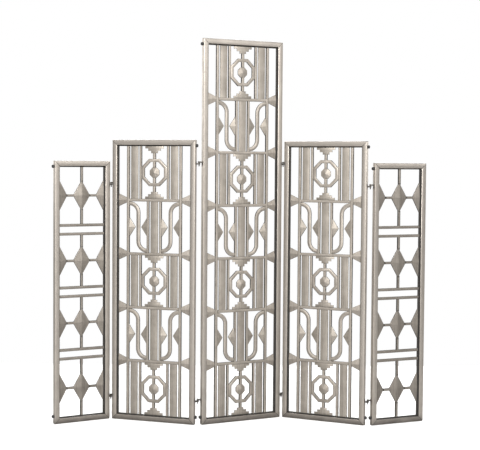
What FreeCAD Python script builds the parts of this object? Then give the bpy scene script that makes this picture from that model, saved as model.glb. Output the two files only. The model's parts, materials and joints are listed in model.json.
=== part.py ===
import FreeCAD, Part
import math
import os
from collections import namedtuple
from FreeCAD import Placement, Rotation, Vector

# Free-standing metal folding screen: five framed openwork panels, hinged in a zigzag.
# Millimetres, +Z up, the front of the screen towards -Y.
# The origin lies on the floor, under the middle of the centre panel.

# Panel sizes
centre_panel_height = 1930.0
inner_panel_height = 1426.0
outer_panel_height = 1318.0
wide_panel_width = 452.0
outer_panel_width = 303.0

# Turn of each panel about the vertical as the screen stands, in degrees
left_outer_turn = 31.0
left_inner_turn = -20.0
centre_turn = 28.0
right_inner_turn = -27.0
right_outer_turn = 25.0

# Frame tube: flat sides, crowned front and back, mitred at the corners
tube_face = 26.0
tube_depth = 26.0
tube_crown = 1.5
tube_wall = 2.5

# Folds: the gap between two stiles when the panels lie flat, and how far the pin stands off the frame
near_fold_gap = 19.0
far_fold_gap = 6.0
pin_standoff = 4.5

# Hook-and-eye hinges
hinge_above_floor = 112.0
hinge_below_top = 122.0
pin_radius = 2.8
pin_tail = 9.0
eye_clearance = 0.08
eye_half_width = 5.5
lug_thickness = 8.0
lug_root_length = 7.0
lug_play = 0.5

# Rubber bumpers, set a little behind the middle of the stile's outer side
bumper_above_floor = 37.0
bumper_below_top = 28.0
bumper_set_back = 3.0
bumper_radius = 8.0
bumper_height = 9.0

# Liner: flat bar laid along the frame's inner sides, which carries the grille
liner_thickness = 5.0
liner_depth = 10.0

# Grille stock
grille_setback = 11.0
bar_width = 14.0
bar_depth = 11.0
slim_bar_width = 12.0
plate_recess = 3.0
plate_depth = 5.0
plate_slit = 8.0

# Grille of the wide panels
wide_grille_width = 300.0
tier_height_target = 275.0
side_bay_width = 55.0
middle_bay_width = 56.0
ring_sides = 8
ring_stroke = 16.0
boss_half_width = 26.0
boss_rim = 6.0
step_count = 3
step_rise = 12.0
step_top_width = 36.0
step_tread = 16.0
scroll_stroke = 20.0
scroll_depth = 9.0
tip_half_width = 32.0
tip_half_height = 48.0
bracket_nose_height = 24.0
bracket_seat_height = 64.0
bracket_depth = 9.0
bracket_ridge_slope = 0.15

# Grille of the outer panels
field_height_target = 317.0
twin_bar_spacing = 44.0
lozenge_half_width = 46.0
lozenge_half_height = 76.0
side_lozenge_half_width = 42.0
side_lozenge_half_height = 76.0
lozenge_rim = 6.0

Panel = namedtuple("Panel", "name width height turn near_side ornate")
Fold = namedtuple("Fold", "name left right gap pin_side")

LEFT = -1
RIGHT = 1
FRONT = -1
BACK = 1
UP = Vector(0, 0, 1)

left_outer = Panel("left_outer", outer_panel_width, outer_panel_height, left_outer_turn, LEFT, False)
left_inner = Panel("left_inner", wide_panel_width, inner_panel_height, left_inner_turn, RIGHT, True)
centre = Panel("centre", wide_panel_width, centre_panel_height, centre_turn, LEFT, True)
right_inner = Panel("right_inner", wide_panel_width, inner_panel_height, right_inner_turn, RIGHT, True)
right_outer = Panel("right_outer", outer_panel_width, outer_panel_height, right_outer_turn, LEFT, False)
panels = [left_outer, left_inner, centre, right_inner, right_outer]

# A fold that points away from the viewer has its pin in front, one that points at the viewer behind
folds = [
    Fold("left_outer_fold", left_outer, left_inner, far_fold_gap, FRONT),
    Fold("left_inner_fold", left_inner, centre, near_fold_gap, BACK),
    Fold("right_inner_fold", centre, right_inner, far_fold_gap, FRONT),
    Fold("right_outer_fold", right_inner, right_outer, near_fold_gap, BACK),
]

tube_side_depth = tube_depth - 2 * tube_crown
grille_front = grille_setback - tube_depth / 2
grille_back = grille_front + bar_depth
liner_front = grille_back - liner_depth
opening_inset = tube_face + liner_thickness


def box(low_x, high_x, low_y, high_y, low_z, high_z):
    corner = Vector(low_x, low_y, low_z)
    return Part.makeBox(high_x - low_x, high_y - low_y, high_z - low_z, corner)


def plate_from_outline(points, front, depth):
    """A flat piece cut to an outline given as (x, z) points, its front face at the given y."""
    corners = [Vector(x, front, z) for x, z in points]
    outline = Part.makePolygon(corners + corners[:1])
    return Part.Face(outline).extrude(Vector(0, depth, 0))


def bar(low_x, high_x, low_z, high_z):
    return box(low_x, high_x, grille_front, grille_back, low_z, high_z)


def plate(low_x, high_x, low_z, high_z):
    """A flat plate in a bay between two upright bars, with an open slit on each side of it."""
    front = grille_front + plate_recess
    return box(low_x + plate_slit, high_x - plate_slit, front, front + plate_depth, low_z, high_z)


def mirrored(shape):
    """The same piece on the other side of the panel's upright middle plane."""
    return shape.mirror(Vector(0, 0, 0), Vector(1, 0, 0))


def crowned_bar(length):
    """The frame tube's outer shape, standing on its end."""
    half_face = tube_face / 2
    half_side = tube_side_depth / 2
    front_left = Vector(-half_face, -half_side, 0)
    front_right = Vector(half_face, -half_side, 0)
    back_left = Vector(-half_face, half_side, 0)
    back_right = Vector(half_face, half_side, 0)
    outline = Part.Wire([
        Part.Arc(front_left, Vector(0, -tube_depth / 2, 0), front_right).toShape(),
        Part.makeLine(front_right, back_right),
        Part.Arc(back_right, Vector(0, tube_depth / 2, 0), back_left).toShape(),
        Part.makeLine(back_left, front_left),
    ])
    return Part.Face(outline).extrude(UP * length)


def frame_tube(length):
    half_bore_face = tube_face / 2 - tube_wall
    half_bore_depth = tube_side_depth / 2 - tube_wall
    bore = box(-half_bore_face, half_bore_face, -half_bore_depth, half_bore_depth, 0, length)
    return crowned_bar(length).cut(bore)


def mitred(tube, outline):
    return tube.common(plate_from_outline(outline, -tube_depth / 2, tube_depth))


def bumper_heights(panel):
    return [bumper_above_floor, panel.height - bumper_below_top]


def stile(panel, side):
    outer_x = side * panel.width / 2
    inner_x = outer_x - side * tube_face
    tube = frame_tube(panel.height)
    tube.translate(Vector((outer_x + inner_x) / 2, 0, 0))
    top = panel.height
    outline = [(outer_x, 0), (outer_x, top), (inner_x, top - tube_face), (inner_x, tube_face)]
    return mitred(tube, outline)


def rail(panel, at_top):
    outer_z = panel.height if at_top else 0
    inner_z = outer_z - tube_face if at_top else outer_z + tube_face
    half_width = panel.width / 2
    tube = frame_tube(panel.width)
    lying = Rotation(Vector(0, 1, 0), 90)
    tube.Placement = Placement(Vector(-half_width, 0, (outer_z + inner_z) / 2), lying)
    inner_half = half_width - tube_face
    outline = [
        (-half_width, outer_z),
        (half_width, outer_z),
        (inner_half, inner_z),
        (-inner_half, inner_z),
    ]
    return mitred(tube, outline)


def liner(panel):
    """Four strips of flat bar inside the frame, the upright ones between the other two."""
    frame_x = panel.width / 2 - tube_face
    top_z = panel.height - opening_inset
    strips = []
    for low_z in (tube_face, top_z):
        strips.append(box(-frame_x, frame_x, liner_front, grille_back, low_z, low_z + liner_thickness))
    upright = box(frame_x - liner_thickness, frame_x, liner_front, grille_back, opening_inset, top_z)
    strips.extend([upright, mirrored(upright)])
    return strips


def bumper(panel, height):
    """A round rubber bumper on the outer side of the stile that stands nearest to the viewer."""
    seat = Vector(panel.near_side * panel.width / 2, bumper_set_back, height)
    outwards = Vector(panel.near_side, 0, 0)
    return Part.makeCylinder(bumper_radius, bumper_height, seat, outwards)


def regular_outline(centre_z, half_width):
    """A regular outline on the panel's middle line, with flats at its top, bottom and sides."""
    half_step = math.pi / ring_sides
    radius = half_width / math.cos(half_step)
    angles = [(2 * corner + 1) * half_step for corner in range(ring_sides)]
    return [(radius * math.cos(angle), centre_z + radius * math.sin(angle)) for angle in angles]


def pointed_boss(outline, centre_x, centre_z, rim):
    """A diamond-pointed boss: a rim cut to the outline, with facets that rise to the front of the bars."""
    base_front = grille_back - rim
    corners = [Vector(x, base_front, z) for x, z in outline]
    base = Part.makePolygon(corners + corners[:1])
    point = Part.Vertex(Vector(centre_x, grille_front, centre_z))
    facets = Part.makeLoft([base, point], True)
    return plate_from_outline(outline, base_front, rim).fuse(facets).removeSplitter()


def lozenge_outline(centre_x, centre_z, half_width, half_height):
    return [
        (centre_x - half_width, centre_z),
        (centre_x, centre_z + half_height),
        (centre_x + half_width, centre_z),
        (centre_x, centre_z - half_height),
    ]


def lozenge(centre_x, centre_z, half_width, half_height):
    outline = lozenge_outline(centre_x, centre_z, half_width, half_height)
    return pointed_boss(outline, centre_x, centre_z, lozenge_rim)


def half_lozenge(seat_x, centre_z, half_width, half_height, side):
    """Half of a lozenge, seated on an upright face at seat_x and pointing to the given side."""
    whole = lozenge(seat_x, centre_z, half_width, half_height)
    far_x = seat_x + side * half_width
    low_z = centre_z - half_height
    high_z = centre_z + half_height
    kept = box(min(seat_x, far_x), max(seat_x, far_x), grille_front, grille_back, low_z, high_z)
    return whole.common(kept)


def arc_points(centre_x, centre_z, radius, start, end):
    """Start, middle and end of an arc in the panel's plane, its degrees measured from +x towards +z."""
    points = []
    for angle in (start, (start + end) / 2, end):
        turn = math.radians(angle)
        points.append(Vector(centre_x + radius * math.cos(turn), 0, centre_z + radius * math.sin(turn)))
    return points


def scroll(inner_x, outer_x, low_z, high_z):
    """An S-scroll that rises from its zone's lower inner corner to the upper outer one."""
    half_stroke = scroll_stroke / 2
    bend = (outer_x - inner_x) / 2
    low_centre_z = low_z + half_stroke + bend
    high_centre_z = high_z - half_stroke - bend
    bends = [
        arc_points(inner_x, low_centre_z, bend + half_stroke, -90, 0),
        arc_points(outer_x, high_centre_z, bend - half_stroke, 180, 90),
        arc_points(outer_x, high_centre_z, bend + half_stroke, 90, 180),
        arc_points(inner_x, low_centre_z, bend - half_stroke, 0, -90),
    ]
    edges = []
    for index, points in enumerate(bends):
        edges.append(Part.makeLine(bends[index - 1][-1], points[0]))
        edges.append(Part.Arc(*points).toShape())
    solid = Part.Face(Part.Wire(edges)).extrude(Vector(0, scroll_depth, 0))
    solid.translate(Vector(0, grille_back - scroll_depth, 0))
    return solid


def stepped_plate(seat_z, direction):
    """A stepped plate on the panel's middle line, growing from seat_z up (1) or down (-1)."""
    half_outline = []
    for step in range(step_count):
        half_width = step_top_width / 2 + (step_count - 1 - step) * step_tread
        half_outline.append((half_width, seat_z + direction * step * step_rise))
        half_outline.append((half_width, seat_z + direction * (step + 1) * step_rise))
    other_half = [(-x, z) for x, z in reversed(half_outline)]
    return plate_from_outline(half_outline + other_half, grille_front + plate_recess, plate_depth)


def bracket(nose_x, seat_x, centre_z):
    """A ridged bracket between the grille's outer upright and the liner, flaring towards the liner."""
    half_nose = bracket_nose_height / 2
    half_seat = bracket_seat_height / 2
    outline = [
        (nose_x, centre_z - half_nose),
        (seat_x, centre_z - half_seat),
        (seat_x, centre_z + half_seat),
        (nose_x, centre_z + half_nose),
    ]
    front = grille_back - bracket_depth
    edge_front = front + bracket_ridge_slope * half_seat
    section = Part.makePolygon([
        Vector(nose_x, front, centre_z),
        Vector(nose_x, edge_front, centre_z + half_seat),
        Vector(nose_x, grille_back, centre_z + half_seat),
        Vector(nose_x, grille_back, centre_z - half_seat),
        Vector(nose_x, edge_front, centre_z - half_seat),
        Vector(nose_x, front, centre_z),
    ])
    ridged_bar = Part.Face(section).extrude(Vector(seat_x - nose_x, 0, 0))
    return plate_from_outline(outline, front, bracket_depth).common(ridged_bar)


def ring_tier(low_z, high_z, pieces):
    """Side plates and slim bars around an eight-sided ring, its boss and a spindle on stepped plates."""
    bay_outer = wide_grille_width / 2 - bar_width
    bay_inner = bay_outer - side_bay_width
    ring_radius = bay_inner - slim_bar_width
    hole_radius = ring_radius - ring_stroke
    middle_z = (low_z + high_z) / 2
    side_plate = plate(bay_inner, bay_outer, low_z, high_z)
    slim_bar = bar(ring_radius, bay_inner, low_z, high_z)
    pieces["grille_plates"].extend([side_plate, mirrored(side_plate)])
    pieces["grille_bars"].extend([slim_bar, mirrored(slim_bar)])
    pieces["grille_plates"].append(stepped_plate(low_z, 1))
    pieces["grille_plates"].append(stepped_plate(high_z, -1))
    ring_outline = regular_outline(middle_z, ring_radius)
    hole_outline = regular_outline(middle_z, hole_radius)
    hole = plate_from_outline(hole_outline, grille_front, bar_depth)
    pieces["rings"].append(plate_from_outline(ring_outline, grille_front, bar_depth).cut(hole))
    boss_outline = regular_outline(middle_z, boss_half_width)
    pieces["rings"].append(pointed_boss(boss_outline, 0, middle_z, boss_rim))
    steps_height = step_count * step_rise
    for low, high in (
        (low_z + steps_height, middle_z - ring_radius),
        (middle_z - hole_radius, middle_z - boss_half_width),
        (middle_z + boss_half_width, middle_z + hole_radius),
        (middle_z + ring_radius, high_z - steps_height),
    ):
        pieces["grille_bars"].append(bar(-bar_width / 2, bar_width / 2, low, high))


def scroll_tier(low_z, high_z, pieces):
    """A middle plate between slim bars, with an S-scroll between two diamond tips on each side."""
    half_bay = middle_bay_width / 2
    zone_inner = half_bay + slim_bar_width
    zone_outer = wide_grille_width / 2 - bar_width
    middle_z = (low_z + high_z) / 2
    pieces["grille_plates"].append(plate(-half_bay, half_bay, low_z, high_z))
    slim_bar = bar(half_bay, zone_inner, low_z, high_z)
    inner_tip = half_lozenge(zone_inner, middle_z, tip_half_width, tip_half_height, RIGHT)
    outer_tip = half_lozenge(zone_outer, middle_z, tip_half_width, tip_half_height, LEFT)
    curve = scroll(zone_inner, zone_outer, low_z, high_z)
    pieces["grille_bars"].extend([slim_bar, mirrored(slim_bar)])
    for tip in (inner_tip, outer_tip):
        pieces["grille_plates"].extend([tip, mirrored(tip)])
    pieces["scrolls"].extend([curve, mirrored(curve)])


def wide_grille(panel):
    """Uprights and cross bars that part the opening into tiers, ring tiers and scroll tiers in turn."""
    pieces = {name: [] for name in ("grille_bars", "grille_plates", "scrolls", "rings", "brackets")}
    floor_z = opening_inset
    opening_height = panel.height - 2 * opening_inset
    tiers = round(opening_height / tier_height_target)
    tier_height = opening_height / tiers
    half_grille = wide_grille_width / 2
    inner_x = half_grille - bar_width
    liner_x = panel.width / 2 - opening_inset
    upright = bar(inner_x, half_grille, floor_z, floor_z + opening_height)
    pieces["grille_bars"].extend([upright, mirrored(upright)])
    for tier in range(tiers):
        low_z = floor_z + tier * tier_height
        high_z = low_z + tier_height
        if tier > 0:
            cross_bar = bar(-inner_x, inner_x, low_z - bar_width / 2, low_z + bar_width / 2)
            side_bracket = bracket(half_grille, liner_x, low_z)
            pieces["grille_bars"].append(cross_bar)
            pieces["brackets"].extend([side_bracket, mirrored(side_bracket)])
            low_z += bar_width / 2
        if tier < tiers - 1:
            high_z -= bar_width / 2
        if tier % 2 == 0:
            ring_tier(low_z, high_z, pieces)
        else:
            scroll_tier(low_z, high_z, pieces)
    return pieces


def lozenge_field(low_z, high_z, liner_x, pieces):
    """A lozenge on a cross of slim bars, between two half lozenges seated on the liner."""
    middle_z = (low_z + high_z) / 2
    half_slim = slim_bar_width / 2
    side = half_lozenge(-liner_x, middle_z, side_lozenge_half_width, side_lozenge_half_height, RIGHT)
    pieces["lozenges"].append(lozenge(0, middle_z, lozenge_half_width, lozenge_half_height))
    pieces["side_lozenges"].extend([side, mirrored(side)])
    outlines = [lozenge_outline(0, middle_z, lozenge_half_width, lozenge_half_height)]
    for seat_x in (-liner_x, liner_x):
        outlines.append(
            lozenge_outline(seat_x, middle_z, side_lozenge_half_width, side_lozenge_half_height)
        )
    taken = [plate_from_outline(outline, grille_front, bar_depth) for outline in outlines]
    spindle = bar(-half_slim, half_slim, low_z, high_z)
    tie = bar(-liner_x, liner_x, middle_z - half_slim, middle_z + half_slim)
    for slim_bar in (spindle, tie):
        pieces["grille_bars"].extend(slim_bar.cut(taken).Solids)


def outer_grille(panel):
    """Fields of lozenges between twin cross bars that run across the panel."""
    pieces = {name: [] for name in ("grille_bars", "lozenges", "side_lozenges")}
    floor_z = opening_inset
    opening_height = panel.height - 2 * opening_inset
    fields = round(opening_height / field_height_target)
    field_height = opening_height / fields
    liner_x = panel.width / 2 - opening_inset
    twin_half_height = (twin_bar_spacing + bar_width) / 2
    for field in range(fields):
        low_z = floor_z + field * field_height
        high_z = low_z + field_height
        if field > 0:
            lower = bar(-liner_x, liner_x, low_z - twin_half_height, low_z - twin_half_height + bar_width)
            upper = bar(-liner_x, liner_x, low_z + twin_half_height - bar_width, low_z + twin_half_height)
            pieces["grille_bars"].extend([lower, upper])
            low_z += twin_half_height
        if field < fields - 1:
            high_z -= twin_half_height
        lozenge_field(low_z, high_z, liner_x, pieces)
    return pieces


def pin_place(panel, side, fold):
    """Where the fold's pin stands in the panel's own plan."""
    out = side * (panel.width + fold.gap) / 2
    return Vector(out, fold.pin_side * (tube_depth / 2 + pin_standoff), 0)


def stile_envelope(panel, side):
    """The stile's outer shape without its bore, for cutting what is welded against it."""
    solid = crowned_bar(panel.height)
    solid.translate(Vector(side * (panel.width - tube_face) / 2, 0, 0))
    return solid


def lug(panel, side, fold, low_z):
    """A lug of flat bar: clipped at the corners around the pin, its root welded on the stile's side."""
    pin = pin_place(panel, side, fold)
    root_x = side * panel.width / 2
    root_end = fold.pin_side * tube_side_depth / 2
    roots = [Vector(root_x, root_end, 0), Vector(root_x, root_end - fold.pin_side * lug_root_length, 0)]
    along = (pin - (roots[0] + roots[1]) / 2).normalize()
    across = UP.cross(along)
    roots.sort(key=across.dot)
    # The end is half of an octagon
    clip = eye_half_width * math.tan(math.pi / 8)
    corners = [
        roots[0],
        pin + along * clip - across * eye_half_width,
        pin + along * eye_half_width - across * clip,
        pin + along * eye_half_width + across * clip,
        pin + along * clip + across * eye_half_width,
        roots[1],
    ]
    solid = Part.Face(Part.makePolygon(corners + corners[:1])).extrude(UP * lug_thickness)
    solid.translate(UP * low_z)
    return solid.cut(stile_envelope(panel, side))


def hinge_heights(fold):
    shorter = min(fold.left.height, fold.right.height)
    return [hinge_above_floor, shorter - hinge_below_top]


def hinge_eye(fold, low_z):
    pin = pin_place(fold.left, RIGHT, fold)
    hole = Part.makeCylinder(pin_radius + eye_clearance, lug_thickness, pin + UP * low_z)
    return lug(fold.left, RIGHT, fold, low_z).cut(hole)


def hinge_hook(fold, low_z):
    """The hook: a lug above the eye, with a pin that drops through the eye."""
    lug_z = low_z + lug_thickness + lug_play
    pin = pin_place(fold.right, LEFT, fold)
    pin_low = low_z - pin_tail
    shank = Part.makeCylinder(pin_radius, lug_z + lug_thickness - pin_low, pin + UP * pin_low)
    return lug(fold.right, LEFT, fold, lug_z).fuse(shank).removeSplitter()


def turn_of(panel):
    return Rotation(UP, panel.turn)


def panel_places():
    """Each panel's place on the floor, found from fold to fold, outwards from the centre panel."""
    places = {centre.name: Vector(0, 0, 0)}
    middle = panels.index(centre)
    for fold in folds[middle:]:
        pin = places[fold.left.name] + turn_of(fold.left).multVec(pin_place(fold.left, RIGHT, fold))
        places[fold.right.name] = pin - turn_of(fold.right).multVec(pin_place(fold.right, LEFT, fold))
    for fold in reversed(folds[:middle]):
        pin = places[fold.right.name] + turn_of(fold.right).multVec(pin_place(fold.right, LEFT, fold))
        places[fold.left.name] = pin - turn_of(fold.left).multVec(pin_place(fold.left, RIGHT, fold))
    return {panel.name: Placement(places[panel.name], turn_of(panel)) for panel in panels}


def panel_pieces(panel):
    """All pieces of one panel in its own frame, by the name of the piece."""
    pieces = {
        "left_stile": [stile(panel, LEFT)],
        "right_stile": [stile(panel, RIGHT)],
        "bottom_rail": [rail(panel, False)],
        "top_rail": [rail(panel, True)],
        "liner": liner(panel),
        "bumpers": [bumper(panel, height) for height in bumper_heights(panel)],
    }
    pieces.update(wide_grille(panel) if panel.ornate else outer_grille(panel))
    return {f"{panel.name}_{piece}": solids for piece, solids in pieces.items()}


def export(node, solids, place):
    for solid in solids:
        solid.Placement = place.multiply(solid.Placement)
    Part.makeCompound(solids).exportStep(f"parts/{node}.step")


places = panel_places()
os.makedirs("parts", exist_ok=True)
for panel in panels:
    for node, solids in panel_pieces(panel).items():
        export(node, solids, places[panel.name])
for fold in folds:
    heights = hinge_heights(fold)
    eyes = [hinge_eye(fold, height) for height in heights]
    hooks = [hinge_hook(fold, height) for height in heights]
    export(f"{fold.name}_eyes", eyes, places[fold.left.name])
    export(f"{fold.name}_hooks", hooks, places[fold.right.name])
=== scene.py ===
import json
import math
from itertools import count

import bmesh
import bpy
from mathutils import Matrix, Vector


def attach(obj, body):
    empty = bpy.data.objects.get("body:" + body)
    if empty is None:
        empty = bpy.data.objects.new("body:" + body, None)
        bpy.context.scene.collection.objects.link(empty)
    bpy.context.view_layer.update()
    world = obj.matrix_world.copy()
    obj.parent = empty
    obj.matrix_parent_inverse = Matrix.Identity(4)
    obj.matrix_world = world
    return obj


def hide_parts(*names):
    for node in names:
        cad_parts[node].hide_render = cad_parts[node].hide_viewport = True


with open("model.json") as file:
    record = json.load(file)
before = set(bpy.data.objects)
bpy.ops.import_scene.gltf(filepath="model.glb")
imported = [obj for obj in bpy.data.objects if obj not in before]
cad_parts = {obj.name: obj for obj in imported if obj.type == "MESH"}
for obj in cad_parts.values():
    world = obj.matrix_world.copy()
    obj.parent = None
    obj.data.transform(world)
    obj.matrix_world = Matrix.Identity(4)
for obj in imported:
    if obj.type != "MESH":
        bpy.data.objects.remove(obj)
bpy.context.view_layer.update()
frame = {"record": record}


# The frames: each panel stands in four lengths of metal tube with flat sides and a crowned front and back,
# brushed lengthways, mitred and welded with a dark seam at each mitre. The side towards the grille is
# blackened, and the bottom rails are darker and duller.
outer_width = 0.303
wide_width = 0.452
outer_height = 1.318
inner_height = 1.426
centre_height = 1.930
# near_side is the side whose stile stands nearer to the viewer: -1 for the left one, 1 for the right one
panels = {
    "left_outer": {"width": outer_width, "height": outer_height, "turn": 31, "near_side": -1},
    "left_inner": {"width": wide_width, "height": inner_height, "turn": -20, "near_side": 1},
    "centre": {"width": wide_width, "height": centre_height, "turn": 28, "near_side": -1},
    "right_inner": {"width": wide_width, "height": inner_height, "turn": -27, "near_side": 1},
    "right_outer": {"width": outer_width, "height": outer_height, "turn": 25, "near_side": -1},
}
wide_panels = ["left_inner", "centre", "right_inner"]
outer_panels = ["left_outer", "right_outer"]

for mount in frame["record"]["mounts"]:
    panel = panels[mount["name"].removesuffix("_foot")]
    turn = Matrix.Rotation(math.radians(panel["turn"]), 4, "Z")
    panel["place"] = Matrix.Translation(mount["pos_m"]) @ turn

tube_face = 0.026
tube_depth = 0.026
tube_crown = 0.0015
tube_side = tube_depth - 2 * tube_crown
tube_edge = 0.0022
crown_steps = 10
mitre_groove = 0.0011
# a face lies in a seam if its normal leans up or down by more than this
seam_lean = 0.2
# points nearer to each other than this are one point
tolerance = 1e-5
# how nearly an edge or a normal has to lie along a direction to count as lying along it
along_axis = 0.9
# degrees by which two faces may bend and still look smooth
crease_angle = 30


def pick(kind, wanted):
    """In edit mode, selects the faces, edges or verts for which the test is true."""
    bpy.ops.mesh.select_mode(type={"faces": "FACE", "edges": "EDGE", "verts": "VERT"}[kind])
    bpy.ops.mesh.select_all(action="DESELECT")
    mesh = bpy.context.edit_object.data
    shape = bmesh.from_edit_mesh(mesh)
    for element in getattr(shape, kind):
        if wanted(element):
            element.select_set(True)
    shape.select_flush_mode()
    bmesh.update_edit_mesh(mesh)


def middle(edge):
    return (edge.verts[0].co + edge.verts[1].co) / 2


def runs_up(edge):
    span = edge.verts[1].co - edge.verts[0].co
    return abs(span.z) > along_axis * span.length


def sharper_than(degrees):
    """A test for edges at which two faces meet at more than the given angle."""
    return lambda edge: edge.calc_face_angle(0) > math.radians(degrees)


def started_block(size, at):
    """A new block of the given size around a point, open for editing."""
    bpy.ops.object.select_all(action="DESELECT")
    bpy.ops.mesh.primitive_cube_add(size=1, location=at)
    bpy.context.object.scale = size
    bpy.ops.object.transform_apply(location=True, rotation=True, scale=True)
    bpy.ops.object.mode_set(mode="EDIT")


def cleaned():
    """Merges the doubled points of the piece being edited and turns its faces outwards."""
    bpy.ops.mesh.select_all(action="SELECT")
    bpy.ops.mesh.remove_doubles(threshold=tolerance)
    bpy.ops.mesh.normals_make_consistent(inside=False)


def finished(smooth_angle=crease_angle):
    """Leaves edit mode with a clean piece, smooth over its soft edges."""
    cleaned()
    bpy.ops.object.mode_set(mode="OBJECT")
    bpy.ops.object.shade_smooth_by_angle(angle=math.radians(smooth_angle))
    return bpy.context.object


def frame_tube(length):
    """One mitred length of tube, standing, its outer side towards -X."""
    radius = (tube_face ** 2 / 4 + tube_crown ** 2) / (2 * tube_crown)
    arc = 2 * math.asin(tube_face / 2 / radius)
    started_block((tube_face, tube_side, length + 2 * tube_face), (0, 0, length / 2))
    pick("faces", lambda face: abs(face.normal.x) < along_axis)
    bpy.ops.mesh.delete(type="FACE")
    for side in (-1, 1):
        def starts_crown(edge):
            place = middle(edge)
            return runs_up(edge) and place.x * side > 0 and place.y * side > 0
        pick("edges", starts_crown)
        axis_y = side * (tube_depth / 2 - radius)
        bpy.ops.mesh.spin(steps=crown_steps, angle=-arc, center=(0, axis_y, 0), axis=(0, 0, 1))
    cleaned()
    pick("edges", sharper_than(crease_angle))
    bpy.ops.mesh.bevel(offset=tube_edge, segments=4, affect="EDGES")
    for end, slope in ((0, -1), (length, 1)):
        mitre = Vector((1, 0, slope)).normalized()
        cut_place = (-tube_face / 2, 0, end - slope * mitre_groove)
        bpy.ops.mesh.select_all(action="SELECT")
        bpy.ops.mesh.bisect(plane_co=cut_place, plane_no=mitre, use_fill=True, clear_outer=True)
        pick("faces", lambda face: face.normal.dot(mitre) > along_axis)
        bpy.ops.mesh.inset(thickness=mitre_groove)
        bpy.ops.transform.translate(value=mitre * mitre_groove * abs(mitre.z))
    tube = finished()
    for face in tube.data.polygons:
        towards_grille = face.normal.x > along_axis
        in_seam = abs(face.normal.z) > seam_lean
        face.material_index = 1 if towards_grille or in_seam else 0
    return tube


copy_numbers = count(1)
grain_shift = Vector((0.317, 0.173, 0.731))


def placed_copy(model, name, place, length=1.0):
    """A copy of a modelled piece with its own mesh, drawn out along Z and set in its place.

    The attribute "stock" keeps where each point lay in the metal before it was cut and set, with a shift
    for each copy, so that the brushed grain follows every length and no two pieces look the same.
    """
    piece = model.copy()
    piece.data = model.data.copy()
    piece.name = name
    bpy.context.scene.collection.objects.link(piece)
    piece.data.transform(Matrix.Diagonal((1, 1, length, 1)))
    shift = next(copy_numbers) * grain_shift
    stock = piece.data.attributes.new("stock", "FLOAT_VECTOR", "POINT")
    for point, vertex in zip(stock.data, piece.data.vertices):
        point.vector = vertex.co + shift
    piece.data.transform(place)
    return piece


def ranged(tree, source, from_range=(0, 1), to_range=(0, 1)):
    """Turns one range of values into another, and holds what lies beyond it at its ends."""
    spread = tree.nodes.new("ShaderNodeMapRange")
    ends = ("From Min", "From Max", "To Min", "To Max")
    for end, value in zip(ends, (*from_range, *to_range)):
        spread.inputs[end].default_value = value
    tree.links.new(source, spread.inputs["Value"])
    return spread.outputs["Result"]


def worked_out(tree, operation, *terms):
    """The result of a sum, each of its terms a number or a socket."""
    sum_node = tree.nodes.new("ShaderNodeMath")
    sum_node.operation = operation
    for socket, term in zip(sum_node.inputs, terms):
        if isinstance(term, float):
            socket.default_value = term
        else:
            tree.links.new(term, socket)
    return sum_node.outputs["Value"]


def mixed(tree, factor, first, second):
    """A mix of two colours, each a colour or a socket."""
    mix = tree.nodes.new("ShaderNodeMix")
    mix.data_type = "RGBA"
    tree.links.new(factor, mix.inputs["Factor"])
    for socket, colour in (("A", first), ("B", second)):
        if isinstance(colour, tuple):
            mix.inputs[socket].default_value = (*colour, 1)
        else:
            tree.links.new(colour, mix.inputs[socket])
    return mix.outputs["Result"]


grain_drawn_out = 50
grain_roughness = 0.6
grain_spread = (0.3, 0.7)


def brushed_grain():
    """Marks that brushing and age leave on metal, read along the stock that a piece was cut from."""
    group = bpy.data.node_groups.new("brushed grain", "ShaderNodeTree")
    group.interface.new_socket("Stock", in_out="INPUT", socket_type="NodeSocketVector")
    for name in ("Streaks", "Bands", "Cloud", "Specks"):
        group.interface.new_socket(name, in_out="OUTPUT", socket_type="NodeSocketFloat")
    entry = group.nodes.new("NodeGroupInput")
    leave = group.nodes.new("NodeGroupOutput")
    drawn_out = group.nodes.new("ShaderNodeMapping")
    drawn_out.inputs["Scale"].default_value = (1, 1, 1 / grain_drawn_out)
    group.links.new(entry.outputs["Stock"], drawn_out.inputs["Vector"])
    lengthways = drawn_out.outputs["Vector"]
    every_way = entry.outputs["Stock"]
    for name, source, scale, detail in (
        ("Streaks", lengthways, 900, 3),
        ("Bands", lengthways, 190, 2),
        ("Cloud", every_way, 14, 4),
        ("Specks", every_way, 420, 2),
    ):
        noise = group.nodes.new("ShaderNodeTexNoise")
        noise.inputs["Scale"].default_value = scale
        noise.inputs["Detail"].default_value = detail
        noise.inputs["Roughness"].default_value = grain_roughness
        group.links.new(source, noise.inputs["Vector"])
        marks = ranged(group, noise.outputs["Fac"], from_range=grain_spread)
        group.links.new(marks, leave.inputs[name])
    return group


# how high above the floor the metal turns darker
darkening_height = 0.036
# the share of the darkening that is left where the clouds are thinnest
darkening_least = 0.5


def darkened_low_down():
    """A mask that darkens the lowest few centimetres of the metal, cloudy along its upper edge."""
    group = bpy.data.node_groups.new("floor grime", "ShaderNodeTree")
    group.interface.new_socket("Place", in_out="INPUT", socket_type="NodeSocketVector")
    group.interface.new_socket("Cloud", in_out="INPUT", socket_type="NodeSocketFloat")
    group.interface.new_socket("Dirt", in_out="OUTPUT", socket_type="NodeSocketFloat")
    entry = group.nodes.new("NodeGroupInput")
    leave = group.nodes.new("NodeGroupOutput")
    split = group.nodes.new("ShaderNodeSeparateXYZ")
    group.links.new(entry.outputs["Place"], split.inputs["Vector"])
    low_down = ranged(group, split.outputs["Z"], from_range=(darkening_height, 0))
    patches = worked_out(group, "MULTIPLY_ADD", entry.outputs["Cloud"], 1 - darkening_least, darkening_least)
    darkness = worked_out(group, "MULTIPLY", low_down, patches)
    group.links.new(darkness, leave.inputs["Dirt"])
    return group


grain_marks = brushed_grain()
low_darkening = darkened_low_down()
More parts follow.
